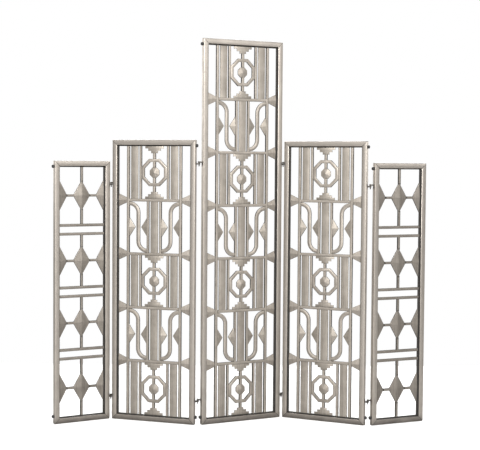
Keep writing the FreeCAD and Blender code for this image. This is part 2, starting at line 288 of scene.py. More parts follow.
# how much of a metal's change of tone comes from the brushed bands; the rest comes from the clouds
band_share = 0.45
low_down_tone = 0.55
grain_depth = 0.0004


def grained_material(name):
    """A new material, its shader, and the marks on the stock of whatever piece wears it."""
    material = bpy.data.materials.new(name)
    material.use_nodes = True
    tree = material.node_tree
    stock = tree.nodes.new("ShaderNodeAttribute")
    stock.attribute_name = "stock"
    grain = tree.nodes.new("ShaderNodeGroup")
    grain.node_tree = grain_marks
    tree.links.new(stock.outputs["Vector"], grain.inputs["Stock"])
    return material, tree.nodes["Principled BSDF"], grain.outputs


def metal(name, bright, dull, smooth, rough, relief, marks="Streaks", metallic=1.0, specular=0.5):
    """Brushed metal between two colours, duller and rougher where the finish has clouded over."""
    material, shader, grain = grained_material(name)
    tree = material.node_tree
    shader.inputs["Metallic"].default_value = metallic
    shader.inputs["Specular IOR Level"].default_value = specular
    cloud = worked_out(tree, "MULTIPLY", grain["Cloud"], 1 - band_share)
    tone = worked_out(tree, "MULTIPLY_ADD", grain["Bands"], band_share, cloud)
    brushed = mixed(tree, tone, bright, dull)
    # every metal is darker in its lowest few centimetres
    place = tree.nodes.new("ShaderNodeTexCoord")
    low_down_mask = tree.nodes.new("ShaderNodeGroup")
    low_down_mask.node_tree = low_darkening
    tree.links.new(place.outputs["Object"], low_down_mask.inputs["Place"])
    tree.links.new(grain["Cloud"], low_down_mask.inputs["Cloud"])
    low_down_colour = tuple(low_down_tone * value for value in dull)
    darkened_low = mixed(tree, low_down_mask.outputs["Dirt"], brushed, low_down_colour)
    tree.links.new(darkened_low, shader.inputs["Base Color"])
    tree.links.new(ranged(tree, tone, to_range=(smooth, rough)), shader.inputs["Roughness"])
    bump = tree.nodes.new("ShaderNodeBump")
    bump.inputs["Strength"].default_value = relief
    bump.inputs["Distance"].default_value = grain_depth
    tree.links.new(grain[marks], bump.inputs["Height"])
    tree.links.new(bump.outputs["Normal"], shader.inputs["Normal"])
    return material


frame_metal = metal(
    "brushed frame metal", bright=(0.520, 0.473, 0.420), dull=(0.335, 0.303, 0.268),
    smooth=0.34, rough=0.50, relief=0.12,
)
# the bottom rails take a darker and rougher copy of the frame metal
darker_rail_metal = metal(
    "scuffed rail metal", bright=(0.375, 0.341, 0.303), dull=(0.235, 0.212, 0.188),
    smooth=0.40, rough=0.56, relief=0.16,
)
frame_black = metal(
    "matt black frame channel", bright=(0.045, 0.041, 0.037), dull=(0.022, 0.020, 0.018),
    smooth=0.70, rough=0.85, relief=0.2, metallic=0.0, specular=0.15,
)

quarter_turn = math.radians(90)
lying_right = Matrix.Rotation(quarter_turn, 4, "Y")
lying_left = Matrix.Rotation(-quarter_turn, 4, "Y")
about_face = Matrix.Rotation(2 * quarter_turn, 4, "Z")

tube_models = {}
for panel_name, panel in panels.items():
    width = panel["width"]
    height = panel["height"]
    for length in (width, height):
        if length not in tube_models:
            tube_models[length] = frame_tube(length)
    stile_x = width / 2 - tube_face / 2
    rail_z = tube_face / 2
    members = {
        "left_stile": (height, Matrix.Translation((-stile_x, 0, 0))),
        "right_stile": (height, Matrix.Translation((stile_x, 0, 0)) @ about_face),
        "bottom_rail": (width, Matrix.Translation((width / 2, 0, rail_z)) @ lying_left),
        "top_rail": (width, Matrix.Translation((-width / 2, 0, height - rail_z)) @ lying_right),
    }
    for member, (length, place) in members.items():
        node = f"{panel_name}_{member}"
        tube = placed_copy(tube_models[length], f"{node}_tube", panel["place"] @ place)
        tube.data.materials.append(darker_rail_metal if member == "bottom_rail" else frame_metal)
        tube.data.materials.append(frame_black)
        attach(tube, f"{panel_name}_panel")
        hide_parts(node)
for model in tube_models.values():
    bpy.data.objects.remove(model)


# The liners: strips of flat bar, painted black, laid edge on along the inner sides of each frame and welded
# to it. They carry the grille, and frame it with a thin dark line.
liner_thickness = 0.005
liner_front = -0.001
liner_back = 0.009
liner_edge = 0.0006
opening_inset = tube_face + liner_thickness


def liner_strip():
    """A metre of the strip, standing, its corners eased."""
    depth = liner_back - liner_front
    started_block((liner_thickness, depth, 1), (0, liner_front + depth / 2, 1 / 2))
    pick("edges", runs_up)
    bpy.ops.mesh.bevel(offset=liner_edge, segments=2, affect="EDGES")
    strip = finished()
    strip.data.materials.append(frame_black)
    return strip


def joined(name, parts):
    bpy.ops.object.select_all(action="DESELECT")
    for part in parts:
        part.select_set(True)
    bpy.context.view_layer.objects.active = parts[0]
    bpy.ops.object.join()
    piece = bpy.context.object
    piece.name = name
    return piece


strip_model = liner_strip()
for panel_name, panel in panels.items():
    node = f"{panel_name}_liner"
    frame_x = panel["width"] / 2 - tube_face
    free_height = panel["height"] - 2 * opening_inset
    strip_inset = tube_face + liner_thickness / 2
    parts = []
    for strip_z in (strip_inset, panel["height"] - strip_inset):
        place = Matrix.Translation((-frame_x, 0, strip_z)) @ lying_right
        parts.append(placed_copy(strip_model, node, panel["place"] @ place, 2 * frame_x))
    for side in (-1, 1):
        place = Matrix.Translation((side * (frame_x - liner_thickness / 2), 0, opening_inset))
        parts.append(placed_copy(strip_model, node, panel["place"] @ place, free_height))
    liner = joined(f"{node}_strips", parts)
    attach(liner, f"{panel_name}_panel")
    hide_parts(node)
bpy.data.objects.remove(strip_model)


# The grille bars of the three wide panels: uprights, cross bars, slim bars and spindles of flat metal bar,
# their front edges eased and painted shade on their sides, welded end to side. They stand back inside the
# frame.
grille_front = -0.002
grille_back = 0.009
bar_depth = grille_back - grille_front
bar_width = 0.014
slim_bar_width = 0.012
bar_edge = 0.0014
half_grille = 0.150
side_bay = 0.055
half_middle_bay = 0.028
tier_spacing = 0.275
steps_height = 0.036
ring_half_width = half_grille - bar_width - side_bay - slim_bar_width
ring_stroke = 0.016
boss_half_width = 0.026
hole_half_width = ring_half_width - ring_stroke
# a face whose normal lies less nearly along Y than this is a side, and not part of a front or a back
front_facing = 0.85

grille_metal = metal(
    "brushed grille metal", bright=(0.46, 0.415, 0.364), dull=(0.25, 0.224, 0.194),
    smooth=0.46, rough=0.62, relief=0.12,
)
# painted shade: a near-black for the sides of the grille pieces, where the bars shade one another
grille_side_shade = metal(
    "darkened grille sides", bright=(0.043, 0.038, 0.033), dull=(0.020, 0.018, 0.015),
    smooth=0.65, rough=0.85, relief=0.2, metallic=0.0, specular=0.14,
)


def painted_shade_at_the_sides(model):
    """Gives the sides of a grille piece, which face along the panel, the second of its two materials: painted
    shade.
    """
    for face in model.data.polygons:
        face.material_index = 1 if abs(face.normal.y) < front_facing else 0
    return model


def grille_piece(face_metal, smooth_angle=crease_angle):
    """Finishes the piece being edited in the given metal, with painted shade on its sides."""
    model = finished(smooth_angle)
    model.data.materials.append(face_metal)
    model.data.materials.append(grille_side_shade)
    return painted_shade_at_the_sides(model)


def flat_bar(width, front, depth, rounding, face_metal):
    """A metre of flat bar, standing, with its two front edges eased."""
    middle_y = front + depth / 2
    started_block((width, depth, 1), (0, middle_y, 1 / 2))
    pick("edges", lambda edge: runs_up(edge) and middle(edge).y < middle_y)
    bpy.ops.mesh.bevel(offset=rounding, segments=3, affect="EDGES")
    return grille_piece(face_metal)


def tiers(height, spacing, half_bar):
    """The free height of each tier of a panel's grille, as (low, high), with bars between the tiers."""
    opening = height - 2 * opening_inset
    tier_count = round(opening / spacing)
    step = opening / tier_count
    spans = []
    for tier in range(tier_count):
        low = opening_inset + tier * step + (half_bar if tier > 0 else 0)
        high = opening_inset + (tier + 1) * step - (half_bar if tier < tier_count - 1 else 0)
        spans.append((low, high))
    return spans


wide_bar = flat_bar(bar_width, grille_front, bar_depth, bar_edge, grille_metal)
slim_bar = flat_bar(slim_bar_width, grille_front, bar_depth, bar_edge, grille_metal)
for panel_name in wide_panels:
    panel = panels[panel_name]
    panel["tiers"] = tiers(panel["height"], tier_spacing, bar_width / 2)
    opening = panel["height"] - 2 * opening_inset
    lengths = []
    for side in (-1, 1):
        upright_x = side * (half_grille - bar_width / 2)
        lengths.append((wide_bar, opening, Matrix.Translation((upright_x, 0, opening_inset))))
    inner_x = half_grille - bar_width
    for low, high in panel["tiers"][1:]:
        cross_place = Matrix.Translation((-inner_x, 0, low - bar_width / 2)) @ lying_right
        lengths.append((wide_bar, 2 * inner_x, cross_place))
    # ring tiers and scroll tiers take turns, with a ring tier at the bottom and at the top
    for tier, (low, high) in enumerate(panel["tiers"]):
        in_ring_tier = tier % 2 == 0
        bar_x = (ring_half_width if in_ring_tier else half_middle_bay) + slim_bar_width / 2
        for side in (-1, 1):
            lengths.append((slim_bar, high - low, Matrix.Translation((side * bar_x, 0, low))))
        if in_ring_tier:
            centre_z = (low + high) / 2
            for start, end in (
                (low + steps_height, centre_z - ring_half_width),
                (centre_z - hole_half_width, centre_z - boss_half_width),
                (centre_z + boss_half_width, centre_z + hole_half_width),
                (centre_z + ring_half_width, high - steps_height),
            ):
                lengths.append((wide_bar, end - start, Matrix.Translation((0, 0, start))))
    node = f"{panel_name}_grille_bars"
    parts = [placed_copy(model, node, panel["place"] @ place, length) for model, length, place in lengths]
    bars = joined(f"{node}_welded", parts)
    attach(bars, f"{panel_name}_panel")
    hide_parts(node)


# The grille plates: thin slats with an open slit on each side, stepped plates at the ends of the ring tiers
# and diamond tips beside the scrolls. Cut from plate, set back from the bars and left with a duller brush.
plate_set_back = 0.003
plate_front = grille_front + plate_set_back
plate_depth = 0.005
plate_edge = 0.0009
plate_slit = 0.008
step_widths = (0.100, 0.068, 0.036)
step_height = steps_height / len(step_widths)
lozenge_corners = 4
lozenge_rim = 0.006
tip_half_width = 0.032
tip_half_height = 0.048
facet_edge = 0.0006
# degrees by which facets may bend and still look smooth, so few that they stay crisp
facet_angle = 4
# a scroll fills the zone from the slim bar beside the middle slat to the upright
zone_in = half_middle_bay + slim_bar_width
zone_out = half_grille - bar_width

plate_metal = metal(
    "brushed plate metal", bright=(0.44, 0.398, 0.347), dull=(0.24, 0.216, 0.187),
    smooth=0.48, rough=0.64, relief=0.2,
)


def eased(rounding, face_metal, corner_angle=25, smooth_angle=crease_angle):
    """Rounds every sharp edge of the piece being edited and finishes it."""
    cleaned()
    pick("edges", sharper_than(corner_angle))
    bpy.ops.mesh.bevel(offset=rounding, segments=2, affect="EDGES")
    return grille_piece(face_metal, smooth_angle)


def stepped_plate():
    """Three steps, each narrower than the one below it, standing on the floor of a tier."""
    middle_y = plate_front + plate_depth / 2
    started_block((step_widths[0], plate_depth, step_height), (0, middle_y, step_height / 2))
    for step, (lower, upper) in enumerate(zip(step_widths, step_widths[1:]), start=1):
        top = step * step_height

        def on_top(face):
            return face.normal.z > along_axis and face.calc_center_median().z > top - tolerance
        pick("faces", on_top)
        bpy.ops.mesh.extrude_region()
        bpy.ops.transform.resize(value=(upper / lower, 1, 1))
        bpy.ops.mesh.extrude_region_move(TRANSFORM_OT_translate={"value": (0, 0, step_height)})
    return eased(plate_edge, plate_metal)


def new_round(sides, radius, depth, at=(0, 0, 0), rotation=(0, 0, 0)):
    """A new cylinder or prism around a point."""
    bpy.ops.object.select_all(action="DESELECT")
    bpy.ops.mesh.primitive_cylinder_add(
        vertices=sides, radius=radius, depth=depth, location=at, rotation=rotation
    )
    bpy.ops.object.transform_apply(location=True, rotation=True, scale=True)
    return bpy.context.object


def pointed_boss(corners, half_width, half_height, rim, turned=0.0):
    """A boss of the given number of corners, its front raised to a point as high as the bars."""
    boss = new_round(corners, 1, rim, (0, grille_back - rim / 2, 0), (quarter_turn, turned, 0))
    boss.data.transform(Matrix.Diagonal((half_width, 1, half_height, 1)))
    bpy.ops.object.mode_set(mode="EDIT")
    pick("faces", lambda face: face.normal.y < -along_axis)
    bpy.ops.mesh.poke(offset=bar_depth - rim)


def right_half_of_boss():
    """Keeps the right half of the boss being edited."""
    bpy.ops.mesh.select_all(action="SELECT")
    bpy.ops.mesh.bisect(plane_co=(0, 0, 0), plane_no=(-1, 0, 0), use_fill=True, clear_outer=True)


side_slat = flat_bar(side_bay - 2 * plate_slit, plate_front, plate_depth, plate_edge, plate_metal)
middle_slat = flat_bar(2 * (half_middle_bay - plate_slit), plate_front, plate_depth, plate_edge, plate_metal)
steps = stepped_plate()
pointed_boss(lozenge_corners, tip_half_width, tip_half_height, lozenge_rim)
right_half_of_boss()
tip = eased(facet_edge, plate_metal, smooth_angle=facet_angle)
half_turn = Matrix.Rotation(2 * quarter_turn, 4, "Y")
for panel_name in wide_panels:
    panel = panels[panel_name]
    shapes = []
    for tier, (low, high) in enumerate(panel["tiers"]):
        in_ring_tier = tier % 2 == 0
        if in_ring_tier:
            slat_x = half_grille - bar_width - side_bay / 2
            for side in (-1, 1):
                shapes.append((side_slat, high - low, Matrix.Translation((side * slat_x, 0, low))))
            shapes.append((steps, 1, Matrix.Translation((0, 0, low))))
            shapes.append((steps, 1, Matrix.Translation((0, 0, high)) @ half_turn))
        else:
            shapes.append((middle_slat, high - low, Matrix.Translation((0, 0, low))))
            centre_z = (low + high) / 2
            for seat_x in (zone_in, -zone_out):
                shapes.append((tip, 1, Matrix.Translation((seat_x, 0, centre_z))))
            for seat_x in (-zone_in, zone_out):
                shapes.append((tip, 1, Matrix.Translation((seat_x, 0, centre_z)) @ half_turn))
    node = f"{panel_name}_grille_plates"
    parts = [placed_copy(model, node, panel["place"] @ place, length) for model, length, place in shapes]
    plates = joined(f"{node}_set", parts)
    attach(plates, f"{panel_name}_panel")
    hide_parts(node)
for model in (side_slat, middle_slat, steps, tip):
    bpy.data.objects.remove(model)


# The rings: an eight-sided ring cast in each ring tier, with a faceted boss carried in its middle on the
# spindle. Its flats lie against the slim bars on both sides.
ring_sides = 8
# the turn from a corner of the ring to the middle of a flat
half_side = math.radians(180 / ring_sides)
ring_edge = 0.0014
boss_rim = 0.006


def ring():
    """An eight-sided block, opened through the middle."""
    middle_y = (grille_front + grille_back) / 2
    radius = ring_half_width / math.cos(half_side)
    new_round(ring_sides, radius, bar_depth, (0, middle_y, 0), (quarter_turn, half_side, 0))
    bpy.ops.object.mode_set(mode="EDIT")
    pick("faces", lambda face: abs(face.normal.y) > along_axis)
    bpy.ops.mesh.inset(thickness=ring_stroke, use_individual=True)
    bpy.ops.mesh.bridge_edge_loops()
    return eased(ring_edge, grille_metal)


ring_model = ring()
boss_radius = boss_half_width / math.cos(half_side)
pointed_boss(ring_sides, boss_radius, boss_radius, boss_rim, half_side)
boss_model = eased(facet_edge, grille_metal, smooth_angle=facet_angle)
for panel_name in wide_panels:
    panel = panels[panel_name]
    node = f"{panel_name}_rings"
    parts = []
    for low, high in panel["tiers"][::2]:
        place = panel["place"] @ Matrix.Translation((0, 0, (low + high) / 2))
        parts.append(placed_copy(ring_model, node, place))
        parts.append(placed_copy(boss_model, node, place))
    rings = joined(f"{node}_cast", parts)
    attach(rings, f"{panel_name}_panel")
    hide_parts(node)
for model in (ring_model, boss_model):
    bpy.data.objects.remove(model)


# The scrolls: an S of bar in each side of a scroll tier, hot-bent edgeways, with a low ridge along its
# front. It rises from beside the middle slat to the upright, and its ends are welded to both.
scroll_front = 0.0
scroll_stroke = 0.020
scroll_ridge = 0.0022
scroll_edge = 0.0007
bend_steps = 14


def scroll(height):
    """An S-bend that fills its zone: its end section takes a quarter turn, a straight run and a turn back."""
    bend = (zone_out - zone_in) / 2
    half_stroke = scroll_stroke / 2
    depth = grille_back - scroll_front - scroll_ridge
    middle_y = grille_back - depth / 2
    bpy.ops.object.select_all(action="DESELECT")
    bpy.ops.mesh.primitive_plane_add(
        size=1, location=(zone_in, middle_y, half_stroke), rotation=(0, quarter_turn, 0)
    )
    bpy.context.object.scale = (scroll_stroke, depth, 1)
    bpy.ops.object.transform_apply(location=True, rotation=True, scale=True)
    bpy.ops.object.mode_set(mode="EDIT")
    pick("edges", lambda edge: middle(edge).y < middle_y - depth / 4)
    bpy.ops.mesh.subdivide(number_cuts=1)
    pick("verts", lambda vertex: abs(vertex.co.z - half_stroke) < tolerance)
    bpy.ops.transform.translate(value=(0, -scroll_ridge, 0))
    bpy.ops.mesh.select_mode(type="EDGE")
    bpy.ops.mesh.select_all(action="SELECT")
    bpy.ops.mesh.delete(type="ONLY_FACE")
    bpy.ops.mesh.select_all(action="SELECT")
    low_centre = (zone_in, 0, half_stroke + bend)
    high_centre = (zone_out, 0, height - half_stroke - bend)
    run = high_centre[2] - low_centre[2]
    bpy.ops.mesh.spin(steps=bend_steps, angle=quarter_turn, center=low_centre, axis=(0, 1, 0))
    bpy.ops.mesh.extrude_region_move(TRANSFORM_OT_translate={"value": (0, 0, run)})
    bpy.ops.mesh.spin(steps=bend_steps, angle=-quarter_turn, center=high_centre, axis=(0, 1, 0))
    bpy.ops.mesh.select_all(action="SELECT")
    bpy.ops.mesh.fill_holes(sides=0)
    return eased(scroll_edge, grille_metal, corner_angle=20, smooth_angle=8)


mirror_side = Matrix.Diagonal((-1, 1, 1, 1))
for panel_name in wide_panels:
    panel = panels[panel_name]
    node = f"{panel_name}_scrolls"
    # the scroll tiers of a panel are equally high, because ring tiers take both its ends
    scroll_tiers = panel["tiers"][1::2]
    first_low, first_high = scroll_tiers[0]
    scroll_model = scroll(first_high - first_low)
    parts = []
    for low, high in scroll_tiers:
        place = panel["place"] @ Matrix.Translation((0, 0, low))
        parts.append(placed_copy(scroll_model, node, place))
        mirrored = placed_copy(scroll_model, node, place @ mirror_side)
        mirrored.data.flip_normals()
        parts.append(mirrored)
    scrolls = joined(f"{node}_bent", parts)
    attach(scrolls, f"{panel_name}_panel")
    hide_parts(node)
    bpy.data.objects.remove(scroll_model)


# The brackets: ridged wedges that carry the grille across the open margin, cast, with the narrow end on the
# grille's upright and the wide end welded to the liner at every cross bar.
bracket_depth = 0.009
bracket_nose = 0.024
bracket_seat = 0.064
bracket_edge = 0.0008
ridge_slope = 0.15
margin = wide_width / 2 - opening_inset - half_grille


def bracket():
    """A block drawn out to a wedge, its front folded to a ridge. It starts at X = 0, seat end towards +X."""
    front = grille_back - bracket_depth
    started_block((margin, bracket_depth, bracket_nose), (margin / 2, front + bracket_depth / 2, 0))
    pick("faces", lambda face: face.normal.x > along_axis)
    bpy.ops.transform.resize(value=(1, 1, bracket_seat / bracket_nose))
    bpy.ops.mesh.select_all(action="SELECT")
    bpy.ops.mesh.bisect(plane_co=(0, 0, 0), plane_no=(0, 0, 1))
    for end_x, half_height in ((0, bracket_nose / 2), (margin, bracket_seat / 2)):
        def front_corner(vertex):
            at_end = abs(vertex.co.x - end_x) < tolerance
            at_front = vertex.co.y < front + tolerance
            off_the_ridge = abs(vertex.co.z) > tolerance
            return at_end and at_front and off_the_ridge
        pick("verts", front_corner)
        bpy.ops.transform.translate(value=(0, ridge_slope * half_height, 0))
    return eased(bracket_edge, grille_metal, corner_angle=8, smooth_angle=facet_angle)


bracket_model = bracket()
for panel_name in wide_panels:
    panel = panels[panel_name]
    node = f"{panel_name}_brackets"
    parts = []
    for low, high in panel["tiers"][1:]:
        centre_z = low - bar_width / 2
        for place in (
            Matrix.Translation((half_grille, 0, centre_z)),
            Matrix.Translation((-half_grille, 0, centre_z)) @ half_turn,
        ):
            parts.append(placed_copy(bracket_model, node, panel["place"] @ place))
    brackets = joined(f"{node}_cast", parts)
    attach(brackets, f"{panel_name}_panel")
    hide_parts(node)
bpy.data.objects.remove(bracket_model)


# The grilles of the two outer panels, in metal that has darkened with age: twin cross bars from side to side,
# and in each field between them a faceted lozenge on a cross of slim bars that are notched to take it, with
# half a lozenge seated on the liner at each side.
field_spacing = 0.317
twin_spacing = 0.044
lozenge_half_width = 0.046
side_lozenge_half_width = 0.042
lozenge_half_height = 0.076
liner_reach = outer_width - 2 * opening_inset

aged_metal = metal(
    "aged grille metal", bright=(0.34, 0.307, 0.269), dull=(0.17, 0.152, 0.132),
    smooth=0.46, rough=0.62, relief=0.14,
)


def cut_away(piece, cutter):
    """Cuts a shape out of a piece and clears the shape away."""
    cut = piece.modifiers.new("cut", "BOOLEAN")
    cut.object = cutter
    cut.operation = "DIFFERENCE"
    bpy.context.view_layer.objects.active = piece
    bpy.ops.object.modifier_apply(modifier=cut.name)
    bpy.data.objects.remove(cutter)


def notched_bar(length, notches):
    """A standing slim bar, notched where lozenges sit in it.

    Each notch is its height, half its size along the bar and half its size across.
    """
    bar = placed_copy(slim_bar, "notched_bar", Matrix.Identity(4), length)
    for height, half_along, half_across in notches:
        cutter = new_round(lozenge_corners, 1, 1, rotation=(quarter_turn, 0, 0))
        cutter.data.transform(Matrix.Diagonal((half_across, 1, half_along, 1)))
        cutter.data.transform(Matrix.Translation((0, 0, height)))
        cut_away(bar, cutter)
    bar.data.attributes.remove(bar.data.attributes["stock"])
    return painted_shade_at_the_sides(bar)


pointed_boss(lozenge_corners, lozenge_half_width, lozenge_half_height, lozenge_rim)
lozenge_model = eased(facet_edge, aged_metal, smooth_angle=facet_angle)
pointed_boss(lozenge_corners, side_lozenge_half_width, lozenge_half_height, lozenge_rim)
right_half_of_boss()
side_lozenge_model = eased(facet_edge, aged_metal, smooth_angle=facet_angle)
for model in (wide_bar, slim_bar):
    model.data.materials[0] = aged_metal
tie_notches = [
    (0, side_lozenge_half_width, lozenge_half_height),
    (liner_reach / 2, lozenge_half_width, lozenge_half_height),
    (liner_reach, side_lozenge_half_width, lozenge_half_height),
]
tie_model = notched_bar(liner_reach, tie_notches)
for panel_name in outer_panels:
    panel = panels[panel_name]
    bars = []
    lozenges = []
    side_lozenges = []
    fields = tiers(panel["height"], field_spacing, (twin_spacing + bar_width) / 2)
    for field, (low, high) in enumerate(fields):
        centre_z = (low + high) / 2
        centred = Matrix.Translation((0, 0, centre_z))
        if field > 0:
            for bar_z in (low - bar_width / 2, low - bar_width / 2 - twin_spacing):
                across = Matrix.Translation((-liner_reach / 2, 0, bar_z)) @ lying_right
                bars.append(placed_copy(wide_bar, "twin_bar", panel["place"] @ across, liner_reach))
        spindle_model = notched_bar(high - low, [((high - low) / 2, lozenge_half_height, lozenge_half_width)])
        bars.append(placed_copy(spindle_model, "spindle", panel["place"] @ Matrix.Translation((0, 0, low))))
        bpy.data.objects.remove(spindle_model)
        across = Matrix.Translation((-liner_reach / 2, 0, centre_z)) @ lying_right
        bars.append(placed_copy(tie_model, "tie", panel["place"] @ across))
        lozenges.append(placed_copy(lozenge_model, "lozenge", panel["place"] @ centred))
        for seat in (
            Matrix.Translation((-liner_reach / 2, 0, centre_z)),
            Matrix.Translation((liner_reach / 2, 0, centre_z)) @ half_turn,
        ):
            side_lozenges.append(placed_copy(side_lozenge_model, "side_lozenge", panel["place"] @ seat))
    for group, finish, parts in (
        ("grille_bars", "welded", bars),
        ("lozenges", "cast", lozenges),
        ("side_lozenges", "cast", side_lozenges),
    ):
        node = f"{panel_name}_{group}"
        piece = joined(f"{node}_{finish}", parts)
        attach(piece, f"{panel_name}_panel")
        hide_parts(node)
for model in (wide_bar, slim_bar, lozenge_model, side_lozenge_model, tie_model):
    bpy.data.objects.remove(model)


# The hinges: two to a fold, forged in dark iron. An eye on the left panel's stile takes the pin of a hook
# that is welded to the right panel's stile just above it, so that each panel lifts off the next.
far_gap = 0.006
near_gap = 0.019
in_front = -1
behind = 1
folds = {
    "left_outer_fold": {"left": "left_outer", "right": "left_inner", "gap": far_gap, "pin_side": in_front},
    "left_inner_fold": {"left": "left_inner", "right": "centre", "gap": near_gap, "pin_side": behind},
    "right_inner_fold": {"left": "centre", "right": "right_inner", "gap": far_gap, "pin_side": in_front},
    "right_outer_fold": {"left": "right_inner", "right": "right_outer", "gap": near_gap, "pin_side": behind},
}
hinge_above_floor = 0.112
hinge_below_top = 0.122
pin_standoff = 0.0045
pin_radius = 0.0028
pin_tail = 0.009
pin_round = 0.0012
eye_clearance = 0.00008
eye_half_width = 0.0055
lug_thickness = 0.008
lug_root = 0.007
lug_play = 0.0005
lug_edge = 0.0006
# a lug's root is a thin slice at the stile's face, and the edges this near to it stay sharp
root_slice = 0.0002
root_reach = 0.001
round_sides = 32
# edges of a round piece that bend by more degrees than this are its rims
rim_angle = 40
is_rim = sharper_than(rim_angle)

hinge_iron = metal(
    "forged hinge iron", bright=(0.115, 0.108, 0.100), dull=(0.050, 0.046, 0.043),
    smooth=0.40, rough=0.60, relief=0.35, marks="Specks",
)


def lug(gap, pin_side, stile_side):
    """A lug around a pin at the origin, standing on Z = 0, whose root reaches the stile on the given side."""
    root_x = stile_side * gap / 2
    root_y = pin_side * (tube_side / 2 - lug_root / 2 - tube_depth / 2 - pin_standoff)
    started_block((root_slice, lug_root, lug_thickness), (root_x, root_y, lug_thickness / 2))
    bpy.ops.mesh.primitive_cylinder_add(
        vertices=round_sides, radius=eye_half_width, depth=lug_thickness, location=(0, 0, lug_thickness / 2)
    )
    bpy.ops.mesh.select_all(action="SELECT")
    bpy.ops.mesh.convex_hull()
    pick("edges", lambda edge: is_rim(edge) and abs(middle(edge).x - root_x) > root_reach)
    bpy.ops.mesh.bevel(offset=lug_edge, segments=2, affect="EDGES")
    return finished()


def pin(length, radius):
    """A round pin from Z = 0 up, rounded at both ends."""
    new_round(round_sides, radius, length, (0, 0, length / 2))
    bpy.ops.object.mode_set(mode="EDIT")
    pick("edges", is_rim)
    bpy.ops.mesh.bevel(offset=pin_round, segments=4, affect="EDGES")
    return finished()


def eye(gap, pin_side):
    """A lug on the left panel, bored for the pin. Points that all but touch after the cut are merged."""
    bored_lug = lug(gap, pin_side, -1)
    hole = pin(3 * lug_thickness, pin_radius + eye_clearance)
    hole.data.transform(Matrix.Translation((0, 0, -lug_thickness)))
    cut_away(bored_lug, hole)
    bpy.ops.object.select_all(action="DESELECT")
    bpy.ops.object.mode_set(mode="EDIT")
    bpy.ops.mesh.select_all(action="SELECT")
    bpy.ops.mesh.remove_doubles(threshold=tolerance)
    bpy.ops.object.mode_set(mode="OBJECT")
    return bored_lug


for fold_name, fold in folds.items():
    left = panels[fold["left"]]
    right = panels[fold["right"]]
    pin_y = fold["pin_side"] * (tube_depth / 2 + pin_standoff)
    eye_model = eye(fold["gap"], fold["pin_side"])
    hook_lug = lug(fold["gap"], fold["pin_side"], 1)
    shank = pin(pin_tail + 2 * lug_thickness + lug_play + pin_round, pin_radius)
    eyes = []
    hooks = []
    for low in (hinge_above_floor, min(left["height"], right["height"]) - hinge_below_top):
        eye_place = left["place"] @ Matrix.Translation(((left["width"] + fold["gap"]) / 2, pin_y, low))
        eyes.append(placed_copy(eye_model, "eye", eye_place))
        hook_place = right["place"] @ Matrix.Translation((-(right["width"] + fold["gap"]) / 2, pin_y, low))
        above_eye = Matrix.Translation((0, 0, lug_thickness + lug_play))
        hooks.append(placed_copy(hook_lug, "hook", hook_place @ above_eye))
        hooks.append(placed_copy(shank, "shank", hook_place @ Matrix.Translation((0, 0, -pin_tail))))
    for group, parts, panel_name in (("eyes", eyes, fold["left"]), ("hooks", hooks, fold["right"])):
        node = f"{fold_name}_{group}"
        piece = joined(f"{node}_forged", parts)
        piece.data.materials.append(hinge_iron)
        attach(piece, f"{panel_name}_panel")
        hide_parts(node)
    for model in (eye_model, hook_lug, shank):
        bpy.data.objects.remove(model)


# The bumpers: moulded black rubber buffers, one near each end of the stile that stands nearest to the
# viewer. Each has a countersunk middle and is held by a slotted iron screw.
bumper_above_floor = 0.037
bumper_below_top = 0.028
bumper_set_back = 0.003
bumper_radius = 0.008
bumper_height = 0.009
bumper_round = 0.0024
bumper_sides = 48
recess_radius = 0.0048
recess_depth = 0.0032
recess_taper = 0.85
recess_edge = 0.0005
screw_radius = 0.0037
screw_height = 0.0021
screw_dome = 0.7 * screw_height
slot_width = 0.0009
slot_depth = 0.0010
rubber_black = (0.006, 0.006, 0.006)
rubber_bloom = (0.016, 0.015, 0.015)
rubber_roughness = (0.45, 0.75)


def is_free_rim(edge):
    """True for a rim that doesn't lie on the seat, at Z = 0."""
    return is_rim(edge) and middle(edge).z > tolerance


def bumper():
    """A buffer standing on Z = 0, rounded over its rim, with a tapered recess in its top."""
    new_round(bumper_sides, bumper_radius, bumper_height, (0, 0, bumper_height / 2))
    bpy.ops.object.mode_set(mode="EDIT")
    pick("faces", lambda face: face.normal.z > along_axis)
    bpy.ops.mesh.inset(thickness=bumper_radius - recess_radius)
    bpy.ops.mesh.extrude_region_move(TRANSFORM_OT_translate={"value": (0, 0, -recess_depth)})
    bpy.ops.transform.resize(value=(recess_taper, recess_taper, 1))
    halfway_out = (bumper_radius + recess_radius) / 2
    pick("edges", lambda edge: is_free_rim(edge) and middle(edge).xy.length > halfway_out)
    bpy.ops.mesh.bevel(offset=bumper_round, segments=6, affect="EDGES")
    pick("edges", is_free_rim)
    bpy.ops.mesh.bevel(offset=recess_edge, segments=2, affect="EDGES")
    return finished()


def screw():
    """A round screw head standing on Z = 0, domed, with a driver slot across it."""
    new_round(round_sides, screw_radius, screw_height, (0, 0, screw_height / 2))
    bpy.ops.object.mode_set(mode="EDIT")
    pick("edges", is_free_rim)
    bpy.ops.mesh.bevel(offset=screw_dome, segments=5, affect="EDGES")
    head = finished()
    started_block((4 * screw_radius, slot_width, 2 * slot_depth), (0, 0, screw_height))
    cut_away(head, finished())
    return head


def moulded_rubber():
    """Black rubber with a fine moulded bloom."""
    material, shader, grain = grained_material("moulded black rubber")
    tree = material.node_tree
    tree.links.new(mixed(tree, grain["Specks"], rubber_black, rubber_bloom), shader.inputs["Base Color"])
    tree.links.new(ranged(tree, grain["Specks"], to_range=rubber_roughness), shader.inputs["Roughness"])
    return material


